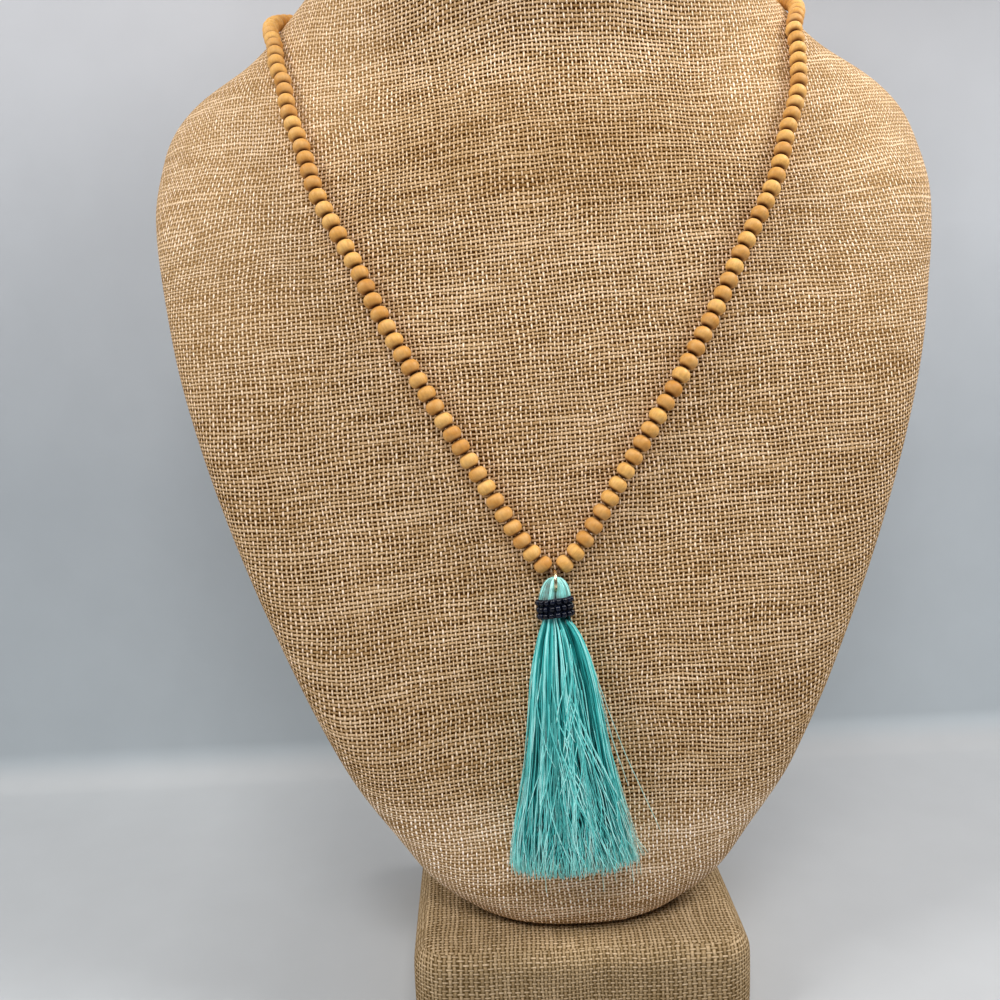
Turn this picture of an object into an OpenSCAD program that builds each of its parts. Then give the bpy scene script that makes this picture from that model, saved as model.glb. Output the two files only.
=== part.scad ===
// Tassel necklace of wooden beads, laid on a burlap neck bust.
// Millimetres, +Z up, front towards -Y. The origin is the centre of the foot's base.

/* [Foot] */
// Width of the foot, side to side
foot_w = 112; // [96:1:130]
// Depth of the foot, front to back
foot_d = 108; // [96:1:130]
// Height of the foot
foot_h = 30; // [20:1:45]
// Radius of the foot's padded edges, top and bottom
foot_edge = 7; // [3:0.5:9]
// Radius of the foot's upright corners
foot_corner = 12; // [10:1:20]

/* [Bust] */
// Height of the bust above the foot
bust_h = 375; // [340:1:410]
// Width across the shoulders
bust_w = 278; // [250:1:300]
// Depth that the sections of the bust are shares of
bust_d = 165; // [150:1:185]
// How far the foot reaches out in front of the bust's zero plane
toe = 17.5; // [12:0.5:20]

/* [Beads] */
// Diameter of a wooden bead
bead_d = 6; // [5:0.1:7]
// Length of a bead along its hole
bead_l = 4.7; // [4:0.05:5.2]
// Diameter of the drilled hole
bead_bore = 1.6; // [1.4:0.1:2]
// Bare thread between two beads
bead_gap = 0.25; // [0.2:0.05:0.4]
// Diameter of the thread
thread_d = 0.8; // [0.5:0.05:0.9]

/* [Jump ring] */
// Outer diameter of the jump ring
ring_d = 8; // [7.6:0.1:9]
// Diameter of the ring's wire
ring_wire = 1; // [0.8:0.1:1.2]
// Drop from the middle of the two lowest beads to the ring's centre
ring_drop = 5.1; // [5:0.1:5.6]
// How far the ring hangs clear of the chest
ring_clear = 1; // [0.6:0.1:1.6]

/* [Tassel] */
// Length of the skirt and neck, from under the ring to the ends
skirt_l = 83; // [74:1:98]
// Width of the skirt at its ends
skirt_w = 40; // [34:1:44]
// Thickness of the skirt at its ends
skirt_t = 17; // [14:1:20]
// Diameter of the bound neck
neck_d = 7; // [6.6:0.1:7.8]
// Thickness of the folded bundle, where it lies over the ring
bundle_t = 4.1; // [3.6:0.1:4.2]
// Breadth of the folded bundle, where it passes through the ring
bundle_b = 4.6; // [4:0.1:4.8]
// Sideways drift of the bound neck from the ring
neck_drift = -0.4; // [-0.6:0.1:0.6]
// Sideways drift of the ends from the ring
skirt_drift = 2.6; // [-5:0.2:5]
// How much higher the right end of the skirt hangs than the left
end_rise = 1.8; // [-3:0.2:3]
// Number of locks round the skirt
locks = 17; // [12:1:20]
// Depth of the valleys between the locks, as a share of the radius
lock_depth = 0.16; // [0.05:0.01:0.22]

/* [Seed bead wrap] */
// Diameter of a seed bead, across its round
seed_d = 2.1; // [1.8:0.1:2.4]
// Number of rounds
wrap_rounds = 3; // [2:1:3]
// Tilt of the wrap, left side down
wrap_tilt = 5; // [0:0.5:6]
// Room between the wrap and the neck
wrap_slack = 0.5; // [0.45:0.05:0.6]

/* [Fits] */
// Gap between pieces that rest on each other
seat_gap = 0.25; // [0.2:0.05:0.35]

/* [Hidden] */

// Columns of BUST, each but the last a share: height of bust_h, half width of
// bust_w / 2, then of bust_d the widest line's place behind the zero plane, the
// depth in front of it and the depth behind it, and last the section's squareness.
HEIGHT = 0;
HALF_W = 1;
WIDEST = 2;
FRONT = 3;
BACK = 4;
SQUARE = 5;
BUST = [
    [0.000, 0.245, 0.133, 0.158, 0.145, 2.3],
    [0.032, 0.360, 0.115, 0.164, 0.164, 2.4],
    [0.070, 0.434, 0.109, 0.170, 0.182, 2.4],
    [0.133, 0.552, 0.115, 0.176, 0.200, 2.4],
    [0.240, 0.692, 0.152, 0.194, 0.218, 2.3],
    [0.360, 0.826, 0.212, 0.206, 0.230, 2.2],
    [0.480, 0.928, 0.279, 0.224, 0.242, 2.1],
    [0.573, 0.978, 0.345, 0.236, 0.255, 2.0],
    [0.640, 1.000, 0.400, 0.248, 0.267, 2.0],
    [0.685, 0.993, 0.455, 0.267, 0.273, 1.9],
    [0.723, 0.971, 0.509, 0.285, 0.279, 1.9],
    [0.757, 0.906, 0.558, 0.303, 0.285, 1.9],
    [0.789, 0.777, 0.588, 0.321, 0.291, 2.0],
    [0.832, 0.662, 0.606, 0.345, 0.297, 2.0],
    [0.880, 0.554, 0.618, 0.345, 0.303, 2.0],
    [0.933, 0.475, 0.624, 0.333, 0.309, 2.0],
    [0.981, 0.440, 0.630, 0.321, 0.315, 2.0],
    [0.994, 0.420, 0.630, 0.305, 0.300, 2.0],
    [1.000, 0.380, 0.630, 0.275, 0.270, 2.0]
];

// Points of the beads' route round the bust: angle from the front, with the left
// side negative and the nape at -180, and height as a share of bust_h.
TURN = 0;
RISE = 1;
ROUTE = [
    [-3.3, 0.331], [-4.7, 0.3405], [-7.3, 0.363], [-11.7, 0.408], [-18.1, 0.474],
    [-24.4, 0.540], [-29.6, 0.607], [-35.4, 0.672], [-41.7, 0.736],
    [-46.5, 0.760], [-55, 0.784], [-65, 0.803], [-75, 0.817],
    [-85, 0.828], [-95, 0.836], [-115, 0.845], [-145, 0.852],
    [-180, 0.854], [-215, 0.852], [-245, 0.846], [-265, 0.839],
    [-277, 0.830], [-287, 0.819], [-297, 0.805], [-305, 0.791],
    [-312, 0.772], [-318, 0.742], [-325.8, 0.671], [-332.2, 0.606],
    [-338.1, 0.540], [-345.2, 0.473], [-352.3, 0.407], [-356.9, 0.363],
    [-359.4, 0.3405], [-360.6, 0.331]
];

// Columns of SKIRT: share of skirt_l down from the top, then the share of the way
// from neck_d to skirt_w in width, and from neck_d to skirt_t in thickness.
DOWN = 0;
SPREAD_W = 1;
SPREAD_T = 2;
SKIRT = [
    [0.000, -0.060, -0.200], [0.010, 0.000, 0.000], [0.076, 0.000, 0.000],
    [0.100, 0.105, 0.110], [0.150, 0.225, 0.300], [0.220, 0.328, 0.440],
    [0.300, 0.415, 0.540], [0.440, 0.500, 0.650], [0.590, 0.600, 0.760],
    [0.740, 0.746, 0.870], [0.890, 0.900, 0.960], [0.960, 0.965, 1.000],
    [1.000, 1.000, 1.000]
];

// Steps in the faceted forms.
bust_sides = 56;
bust_steps = 3;
corner_steps = 6;
low_steps = 3;
high_steps = 5;
thread_sides = 5;
head_sides = 12;
head_steps = 12;
lock_steps = 4;
route_steps = 12;
round_fn = 48;
bore_fn = 32;

// Steps taken to find a normal: a turn in degrees, and a share of bust_h.
turn_step = 0.5;
rise_step = 0.001;

// Shares of skirt_l: where the neck ends, how far the skirt takes to settle on the
// chest, how far its locks take to grow deep, and where its uneven ends start.
neck_end = SKIRT[2][0];
settle_run = 0.2;
lock_run = 0.625;
fringe_from = 0.9;

// Unevenness of the skirt's ends, how full the locks are, and how soon it drifts.
fringe = 0.8;
lock_power = 0.7;
drift_power = 0.4;

// How far each leg of the bundle is set in from its half of the neck, and how far
// below the neck's top the legs get there and end.
leg_inset = 0.1;
leg_turn = 0.6;
leg_sink = 2.5;

// How far the thread turns each way from straight down under the ring's wire, and in
// what steps.
bend_turn = 40;
bend_step = 20;

// How far the wrap's top edge is below the neck's top.
wrap_drop = 0.3;

// Width of the web behind the rounds of the wrap, as a share of seed_d.
web_share = 0.75;

bust_base = foot_h + seat_gap;
zero_y = toe - foot_d / 2;
bead_seat = bead_d / 2 + seat_gap;
bead_pitch = bead_l + bead_gap;
last_bust = len(BUST) - 1;
last_skirt = len(SKIRT) - 1;
last_route = len(ROUTE) - 1;

function mix(a, b, t) = a + (b - a) * t;
function unit(v) = v / norm(v);

// Row of a table that a value falls in, by the table's first column.
function row_of(table, x, i = 0) =
    i >= len(table) - 2 || x < table[i + 1][0] ? i : row_of(table, x, i + 1);

// Slope of a column at a row, from the rows on either side.
function slope(table, i, col) =
    let(a = max(i - 1, 0), b = min(i + 1, len(table) - 1))
    (table[b][col] - table[a][col]) / (table[b][0] - table[a][0]);

// Smooth value of a column between two rows.
function smooth(table, x, col) =
    let(
        i = row_of(table, x),
        h = table[i + 1][0] - table[i][0],
        t = (x - table[i][0]) / h,
        t2 = t * t,
        t3 = t2 * t
    )
    (2 * t3 - 3 * t2 + 1) * table[i][col] + (t3 - 2 * t2 + t) * h * slope(table, i, col)
    + (3 * t2 - 2 * t3) * table[i + 1][col] + (t3 - t2) * h * slope(table, i + 1, col);

// Sizes of the bust's section at a height share.
function bust_half(s) = smooth(BUST, s, HALF_W) * bust_w / 2;
function bust_widest(s) = zero_y + smooth(BUST, s, WIDEST) * bust_d;
function bust_front(s) = smooth(BUST, s, FRONT) * bust_d;
function bust_back(s) = smooth(BUST, s, BACK) * bust_d;

function signed_pow(v, e) = sign(v) * pow(abs(v), e);

// Point on the bust at an angle from the front and a height share.
function bust_point(a, s) =
    let(
        e = 2 / smooth(BUST, s, SQUARE),
        depth = cos(a) > 0 ? bust_front(s) : bust_back(s)
    )
    [
        bust_half(s) * signed_pow(sin(a), e),
        bust_widest(s) - depth * signed_pow(cos(a), e),
        bust_base + s * bust_h
    ];

// Point that stands off the bust along its outward normal.
function off_bust(a, s, r) =
    let(
        across = bust_point(a + turn_step, s) - bust_point(a - turn_step, s),
        up = bust_point(a, s + rise_step) - bust_point(a, s - rise_step)
    )
    bust_point(a, s) + r * unit(cross(across, up));

// Front of the chest at a place across and a height above the floor.
function chest_y(x, z) =
    let(
        s = (z - bust_base) / bust_h,
        n = smooth(BUST, s, SQUARE)
    )
    bust_widest(s) - bust_front(s) * pow(1 - pow(abs(x) / bust_half(s), n), 1 / n);

// Spline through four values.
function spline(a, b, c, d, t) =
    0.5 * ((2 * b) + (c - a) * t + (2 * a - 5 * b + 4 * c - d) * t * t
    + (3 * b - a - 3 * c + d) * t * t * t);

function route_at(i, t) =
    let(p = [for (k = [-1:2]) ROUTE[min(max(i + k, 0), last_route)]])
    spline(p[0], p[1], p[2], p[3], t);

// The route in space, and its length so far at each of its points.
route = [
    for (k = [0:last_route * route_steps])
        let(
            i = min(floor(k / route_steps), last_route - 1),
            p = route_at(i, k / route_steps - i)
        )
        off_bust(p[TURN], p[RISE], bead_seat)
];
last = len(route) - 1;
route_len = [
    for (i = 0, d = 0; i <= last; d = d + (i < last ? norm(route[i + 1] - route[i]) : 0), i = i + 1)
        d
];
function route_row(d, lo, hi) =
    hi - lo <= 1 ? lo
    : let(m = floor((lo + hi) / 2))
      route_len[m] <= d ? route_row(d, m, hi) : route_row(d, lo, m);
function on_route(d) =
    let(i = route_row(d, 0, last))
    mix(route[i], route[i + 1], (d - route_len[i]) / (route_len[i + 1] - route_len[i]));

bead_count = round(route_len[last] / bead_pitch) + 1;
bead_step = route_len[last] / (bead_count - 1);
beads = [for (i = [0:bead_count - 1]) on_route(i * bead_step)];

// The jump ring hangs edge on, under the middle of the two lowest beads.
low_mid = (beads[0] + beads[bead_count - 1]) / 2;
ring_z = low_mid[2] - ring_drop;
ring_at = [low_mid[0], chest_y(low_mid[0], ring_z) - ring_d / 2 - ring_clear, ring_z];
ring_r = (ring_d - ring_wire) / 2;

// The thread bends round under the top of the ring's wire and runs through every
// bead. It leaves the two lowest beads straight along their holes.
thread_lead = bead_l / 2 + bead_gap;
bend_r = ring_wire / 2 + thread_d / 2 + seat_gap;
thread_bend = [
    for (a = [bend_turn:-bend_step:-bend_turn])
        ring_at + [bend_r * sin(a), 0, ring_r - bend_r * cos(a)]
];
left_exit = beads[0] + thread_lead * unit(beads[0] - beads[1]);
right_exit =
    beads[bead_count - 1]
    + thread_lead * unit(beads[bead_count - 1] - beads[bead_count - 2]);
thread_path = concat(thread_bend, [left_exit], beads, [right_exit]);

// Rings of points joined to a closed solid, with a fan over each end.
module loft(rings) {
    n = len(rings[0]);
    m = len(rings);
    top = (m - 1) * n;
    function middle(r) = [for (k = [0:2]) [for (p = r) p[k]] * [for (p = r) 1] / n];
    points = concat([for (r = rings) each r], [middle(rings[0]), middle(rings[m - 1])]);
    sides = [
        for (i = [0:m - 2], j = [0:n - 1])
            let(a = i * n + j, b = i * n + (j + 1) % n)
            each [[a, a + n, b], [b, a + n, b + n]]
    ];
    start_fan = [for (j = [0:n - 1]) [m * n, j, (j + 1) % n]];
    end_fan = [for (j = [0:n - 1]) [m * n + 1, top + (j + 1) % n, top + j]];
    polyhedron(points, concat(sides, start_fan, end_fan), convexity = 6);
}

// Outline of the foot, drawn in by some amount.
function foot_ring(inset, z) = [
    for (q = [0:3], k = [0:corner_steps])
        let(
            a = (q + k / corner_steps) * 90,
            side = (q == 0 || q == 3) ? 1 : -1,
            end = q < 2 ? 1 : -1,
            r = foot_corner - inset
        )
        [
            side * (foot_w / 2 - foot_corner) + r * cos(a),
            end * (foot_d / 2 - foot_corner) + r * sin(a),
            z
        ]
];

module bust_foot() {
    low_edge = foot_edge / 2;
    low = [
        for (k = [0:low_steps])
            let(a = k * 90 / low_steps)
            foot_ring(low_edge * (1 - sin(a)), low_edge * (1 - cos(a)))
    ];
    high = [
        for (k = [0:high_steps])
            let(a = k * 90 / high_steps)
            foot_ring(foot_edge * (1 - cos(a)), foot_h - foot_edge * (1 - sin(a)))
    ];
    color([0.66, 0.53, 0.38]) loft(concat(low, high));
}

module bust_form() {
    heights = [
        for (k = [0:last_bust * bust_steps])
            let(i = min(floor(k / bust_steps), last_bust - 1))
            mix(BUST[i][HEIGHT], BUST[i + 1][HEIGHT], k / bust_steps - i)
    ];
    color([0.72, 0.6, 0.44])
        loft([
            for (s = heights)
                [for (j = [0:bust_sides - 1]) bust_point(j * 360 / bust_sides, s)]
        ]);
}

// Turns a solid made along Z to a direction, at a place.
module aim(at, dir) {
    translate(at) rotate([0, acos(dir[2]), atan2(dir[1], dir[0])]) children();
}

module bead() {
    rotate_extrude($fn = round_fn)
        difference() {
            translate([(bead_d - bead_l) / 2, 0]) circle(d = bead_l, $fn = round_fn);
            translate([-bead_d, -bead_d]) square([bead_d + bead_bore / 2, 2 * bead_d]);
        }
}

module bead_run(first, last) {
    for (i = [first:last])
        aim(beads[i], unit(beads[min(i + 1, bead_count - 1)] - beads[max(i - 1, 0)])) bead();
}

module bead_strand_left() {
    color([0.82, 0.6, 0.34]) bead_run(0, floor(bead_count / 2) - 1);
}

module bead_strand_right() {
    color([0.82, 0.6, 0.34]) bead_run(floor(bead_count / 2), bead_count - 1);
}

// Ring of points round a closed path, square to the way it runs there.
function tube_ring(path, i, r, sides) =
    let(
        n = len(path),
        dir = unit(path[(i + 1) % n] - path[(i + n - 1) % n]),
        side = unit(cross(dir, [0, 1, 0])),
        other = cross(dir, side)
    )
    [
        for (j = [0:sides - 1])
            let(a = j * 360 / sides)
            path[i] + r * (side * cos(a) + other * sin(a))
    ];

module string_thread() {
    n = len(thread_path);
    m = thread_sides;
    points = [for (i = [0:n - 1]) each tube_ring(thread_path, i, thread_d / 2, m)];
    faces = [
        for (i = [0:n - 1], j = [0:m - 1])
            let(
                here = i * m,
                next = ((i + 1) % n) * m,
                k = (j + 1) % m
            )
            each [[here + j, here + k, next + j], [here + k, next + k, next + j]]
    ];
    color([0.45, 0.28, 0.16]) polyhedron(points, faces, convexity = 6);
}

module jump_ring() {
    color([0.85, 0.76, 0.5])
        translate(ring_at) rotate([0, 90, 0]) rotate_extrude($fn = round_fn)
            translate([ring_r, 0]) circle(d = ring_wire, $fn = bore_fn);
}

// Top of the skirt's neck, just under the ring's wire, and where its middle lies.
neck_top = ring_z - ring_d / 2 - seat_gap;
wrap_h = wrap_rounds * seed_d;
wrap_r = neck_d / 2 + wrap_slack + seed_d;
function skirt_z(s) = neck_top - s * skirt_l;
function skirt_half_w(s) = mix(neck_d, skirt_w, smooth(SKIRT, s, SPREAD_W)) / 2;
function skirt_half_t(s) = mix(neck_d, skirt_t, smooth(SKIRT, s, SPREAD_T)) / 2;
function skirt_x(s) =
    let(drifted = pow(max(0, (s - neck_end) / (1 - neck_end)), drift_power))
    ring_at[0] + mix(neck_drift, skirt_drift, drifted);

// The neck stands off the chest by the wrap, and the skirt lies on the chest.
function skirt_y(s) =
    let(
        settled = min(1, max(0, (s - neck_end) / settle_run)),
        reach = max(skirt_half_t(s), mix(wrap_r, skirt_half_t(s), settled))
    )
    chest_y(skirt_x(s), skirt_z(s)) - reach - 2 * seat_gap;

// Outline of the skirt: full locks with narrow valleys, deeper towards the ends.
function lock_factor(a, s) =
    1 - lock_depth * min(1, s / lock_run) * (1 - pow(abs(cos(a * locks / 2)), lock_power));
function end_drop(a) = fringe * (sin(a * 3) + sin(a * 7 + 40)) - end_rise / 2 * sin(a);

function skirt_ring(s) =
    let(
        n = locks * lock_steps,
        ending = max(0, (s - fringe_from) / (1 - fringe_from))
    )
    [
        for (j = [0:n - 1])
            let(a = (j + 0.5) * 360 / n, f = lock_factor(a, s))
            [
                skirt_x(s) + skirt_half_w(s) * f * sin(a),
                skirt_y(s) - skirt_half_t(s) * f * cos(a),
                skirt_z(s) - ending * end_drop(a)
            ]
    ];

// The folded bundle: up one side, over the ring's wire and down the other side.
arch_r = ring_wire / 2 + seat_gap + bundle_t / 2;
leg_x = neck_d / 4;
leg_t = neck_d / 2 - 2 * leg_inset;
arch_z = ring_z - ring_r;
function head_ring(at, tilt, thick, broad) =
    [
        for (j = [0:head_sides - 1])
            let(b = j * 360 / head_sides, r = thick / 2 * cos(b))
            at + [r * cos(tilt), broad / 2 * sin(b), r * sin(tilt)]
    ];

module tassel() {
    neck_y = skirt_y(0);
    arch = [
        for (k = [0:head_steps])
            let(
                a = k * 180 / head_steps,
                at = [ring_at[0] + arch_r * cos(a), ring_at[1], arch_z + arch_r * sin(a)]
            )
            head_ring(at, a, bundle_t, bundle_b)
    ];
    function leg(side, below) =
        head_ring(
            [skirt_x(0) + side * leg_x, neck_y, neck_top - below],
            side > 0 ? 0 : 180, leg_t, bundle_b
        );
    right_leg = [leg(1, leg_sink), leg(1, leg_turn)];
    left_leg = [leg(-1, leg_turn), leg(-1, leg_sink)];
    color([0.33, 0.75, 0.73]) {
        loft([for (i = [last_skirt:-1:0]) skirt_ring(SKIRT[i][DOWN])]);
        loft(concat(right_leg, arch, left_leg));
    }
}

// Rounds of seed beads, as one band with a bulge for each round. It leans back with
// the neck.
module seed_bead_wrap() {
    place = (wrap_drop + wrap_h / 2) / skirt_l;
    lean = atan2(skirt_y(0) - skirt_y(neck_end), neck_end * skirt_l);
    color([0.1, 0.13, 0.26])
        translate([skirt_x(place), skirt_y(place), skirt_z(place)])
            rotate([-lean, -wrap_tilt, 0])
                rotate_extrude($fn = round_fn)
                    union() {
                        for (k = [0:wrap_rounds - 1])
                            translate([wrap_r - seed_d / 2, (k - (wrap_rounds - 1) / 2) * seed_d])
                                circle(d = seed_d, $fn = bore_fn);
                        translate([wrap_r - seed_d, -(wrap_h - seed_d) / 2])
                            square([seed_d * web_share, wrap_h - seed_d]);
                    }
}

bust_foot();
bust_form();
bead_strand_left();
bead_strand_right();
string_thread();
jump_ring();
tassel();
seed_bead_wrap();
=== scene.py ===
"""Looks of the wooden-bead tassel necklace on its burlap bust. Metres, +Z up, front towards -Y."""
import math
import random

import bmesh
import bpy
import numpy as np
from mathutils import Matrix, Vector


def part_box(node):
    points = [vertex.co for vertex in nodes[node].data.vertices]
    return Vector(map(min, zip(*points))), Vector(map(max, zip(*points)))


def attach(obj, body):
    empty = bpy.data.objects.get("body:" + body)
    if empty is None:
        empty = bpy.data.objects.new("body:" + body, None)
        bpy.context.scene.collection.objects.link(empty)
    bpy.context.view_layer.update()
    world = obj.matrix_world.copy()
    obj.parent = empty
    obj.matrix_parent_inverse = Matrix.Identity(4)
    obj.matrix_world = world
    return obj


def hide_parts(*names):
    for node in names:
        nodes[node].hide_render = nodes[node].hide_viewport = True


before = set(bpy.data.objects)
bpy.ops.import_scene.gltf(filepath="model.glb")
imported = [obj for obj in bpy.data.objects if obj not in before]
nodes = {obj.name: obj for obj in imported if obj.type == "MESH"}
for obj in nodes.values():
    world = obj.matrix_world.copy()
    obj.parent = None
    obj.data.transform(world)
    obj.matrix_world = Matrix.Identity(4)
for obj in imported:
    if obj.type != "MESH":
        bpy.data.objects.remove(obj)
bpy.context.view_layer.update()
MM = 0.001
TAU = math.tau


def link(item):
    """Puts an object into the scene."""
    bpy.context.scene.collection.objects.link(item)
    return item


# ---- Camera ----
CAMERA_AT = (-0.0254, -0.3428, 0.22915)
CAMERA_YAW = math.radians(0.81)
CAMERA_PITCH = math.radians(10)
CAMERA_ROLL = math.radians(2.29)
CAMERA_LENS = 36.0
CAMERA_SENSOR = 36.0
CAMERA_NEAREST = 0.01


def make_camera():
    """Camera at the photograph's place, turn and tilt, with its sensor fitted to the frame's width."""
    data = bpy.data.cameras.new("camera")
    data.sensor_fit = "HORIZONTAL"
    data.sensor_width = CAMERA_SENSOR
    data.lens = CAMERA_LENS
    data.clip_start = CAMERA_NEAREST
    camera = link(bpy.data.objects.new("camera", data))
    yaw = Matrix.Rotation(-CAMERA_YAW, 4, "Z")
    pitch = Matrix.Rotation(math.pi / 2 - CAMERA_PITCH, 4, "X")
    roll = Matrix.Rotation(-CAMERA_ROLL, 4, "Z")
    camera.matrix_world = Matrix.Translation(CAMERA_AT) @ yaw @ pitch @ roll
    bpy.context.scene.camera = camera


# ---- Node helpers ----
class Wire:
    """Output of a node, so that sums are written as plain formulas."""

    def __init__(self, tree, socket):
        self.tree = tree
        self.socket = socket

    def __add__(self, other):
        return maths("ADD", self, other)

    def __sub__(self, other):
        return maths("SUBTRACT", self, other)

    def __rsub__(self, other):
        return maths("SUBTRACT", other, self)

    def __mul__(self, other):
        return maths("MULTIPLY", self, other)

    def __truediv__(self, other):
        return maths("DIVIDE", self, other)


def feed(socket, value):
    """Links a wire to a socket, or sets the socket's value."""
    if isinstance(value, Wire):
        value.tree.links.new(value.socket, socket)
    else:
        socket.default_value = value


def feed_all(sockets, **values):
    """Feeds sockets by their titles, written with _ for each space."""
    for title, value in values.items():
        feed(sockets[title.replace("_", " ")], value)


def new_node(kind, *values):
    """Node in the tree of the first wire among the values."""
    return next(value.tree for value in values if isinstance(value, Wire)).nodes.new(kind)


def fed(node, *values):
    """Feeds a node's inputs in order, and gives its first output."""
    for socket, value in zip(node.inputs, values):
        feed(socket, value)
    return Wire(node.id_data, node.outputs[0])


def maths(operation, *values):
    node = new_node("ShaderNodeMath", *values)
    node.operation = operation
    return fed(node, *values)


def ranged(value, low, high, to_low=0.0, to_high=1.0, smooth=False):
    """Value moved from one range to another, and held inside it."""
    node = new_node("ShaderNodeMapRange", value)
    node.interpolation_type = "SMOOTHSTEP" if smooth else "LINEAR"
    return fed(node, value, low, high, to_low, to_high)


def joined(x, y, z=0.0):
    return fed(new_node("ShaderNodeCombineXYZ", x, y, z), x, y, z)


def parted(vector):
    node = new_node("ShaderNodeSeparateXYZ", vector)
    feed(node.inputs[0], vector)
    return [Wire(node.id_data, socket) for socket in node.outputs]


def noise(vector, scale=1.0, detail=0.0, roughness=0.5, colour=False):
    node = new_node("ShaderNodeTexNoise", vector)
    feed_all(node.inputs, Vector=vector, Scale=scale, Detail=detail, Roughness=roughness)
    return Wire(node.id_data, node.outputs[1 if colour else 0])


def blended(factor, a, b):
    """Mix of two colours."""
    a, b = (colour if isinstance(colour, Wire) else (*colour, 1.0) for colour in (a, b))
    node = new_node("ShaderNodeMix", factor, a, b)
    node.data_type = "RGBA"
    for place, value in ((0, factor), (6, a), (7, b)):
        feed(node.inputs[place], value)
    return Wire(node.id_data, node.outputs[2])


def layered(colour, *layers):
    """Colour with others laid over it, each with its factor."""
    for factor, other in layers:
        colour = blended(factor, colour, other)
    return colour


def scaled(colour, factor):
    """Colour times a value."""
    node = new_node("ShaderNodeVectorMath", colour)
    node.operation = "SCALE"
    feed(node.inputs["Scale"], factor)
    return fed(node, colour)


def uv_of(tree, name):
    node = tree.nodes.new("ShaderNodeUVMap")
    node.uv_map = name
    return Wire(tree, node.outputs[0])


def attribute(tree, name, output="Vector"):
    node = tree.nodes.new("ShaderNodeAttribute")
    node.attribute_name = name
    return Wire(tree, node.outputs[output])


def own_place(tree):
    """Object coordinates."""
    return Wire(tree, tree.nodes.new("ShaderNodeTexCoord").outputs["Object"])


def bump(shader, height, distance):
    node = new_node("ShaderNodeBump", height)
    feed_all(node.inputs, Strength=1.0, Distance=distance, Height=height)
    height.tree.links.new(node.outputs[0], shader.inputs["Normal"])


SOCKET_KINDS = {"Threads": "NodeSocketVector", "Color": "NodeSocketColor"}


def new_group(name, inputs, outputs):
    """Node group with named sockets: its tree, its inputs as wires and its outputs' sockets."""
    tree = bpy.data.node_groups.new(name, "ShaderNodeTree")
    for way, titles in (("INPUT", inputs), ("OUTPUT", outputs)):
        for title in titles:
            kind = SOCKET_KINDS.get(title, "NodeSocketFloat")
            tree.interface.new_socket(title, in_out=way, socket_type=kind)
    source = tree.nodes.new("NodeGroupInput")
    sink = tree.nodes.new("NodeGroupOutput")
    return tree, {title: Wire(tree, source.outputs[title]) for title in inputs}, sink.inputs


def use_group(tree, group, **values):
    """Outputs of a group that is placed in a tree and fed by title."""
    node = tree.nodes.new("ShaderNodeGroup")
    node.node_tree = group
    feed_all(node.inputs, **values)
    return {socket.name: Wire(tree, socket) for socket in node.outputs}


def new_material(name):
    """Material with an empty tree but for its shader and output."""
    material = bpy.data.materials.new(name)
    material.use_nodes = True
    tree = material.node_tree
    tree.nodes.clear()
    shader = tree.nodes.new("ShaderNodeBsdfPrincipled")
    output = tree.nodes.new("ShaderNodeOutputMaterial")
    tree.links.new(shader.outputs[0], output.inputs[0])
    return material, tree, shader


def speckled(name, scale, detail, dark, pale, roughness):
    """Material of two colours mixed by a noise, with the noise and the shader."""
    material, tree, shader = new_material(name)
    speckle = noise(own_place(tree), scale, detail)
    feed_all(shader.inputs, Base_Color=blended(speckle, dark, pale), Roughness=roughness)
    return material, speckle, shader


# ---- Burlap ----
THREAD_APART = 3.71  # keeps the noise of neighbouring threads apart
THREAD_EDGE = 0.02
# Lie and swell are a noise's run along a thread, its seed and its size, and long is a run and a seed.
# Tones are ranges of section, rise, fibre and long noise; the section and rise ranges are painted shade, darker
# on a thread's sides and where it dips under the threads that cross it.
WEFT = dict(
    lie=(0.17, 3.0, 0.5), swell=(0.075, 21.0, 2.0), long=(0.06, 41.0), wave=-0.5, round_top=0.9,
    tones=((0.15, 1.0, 0.38, 1.1), (-0.5, 0.1, 0.62, 1.0), (0.25, 0.75, 0.72, 1.22), (0.3, 0.72, 1.28, 0.66)),
)
WARP = dict(
    lie=(0.23, 9.0, 0.4), swell=(0.12, 33.0, 1.6), long=(0.2, 51.0), wave=0.62, round_top=0.7,
    tones=((0.0, 0.8, 0.5, 1.0), (-0.6, 0.3, 0.45, 1.0), (0.25, 0.75, 0.85, 1.15), (0.3, 0.7, 0.72, 1.18)),
)


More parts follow.
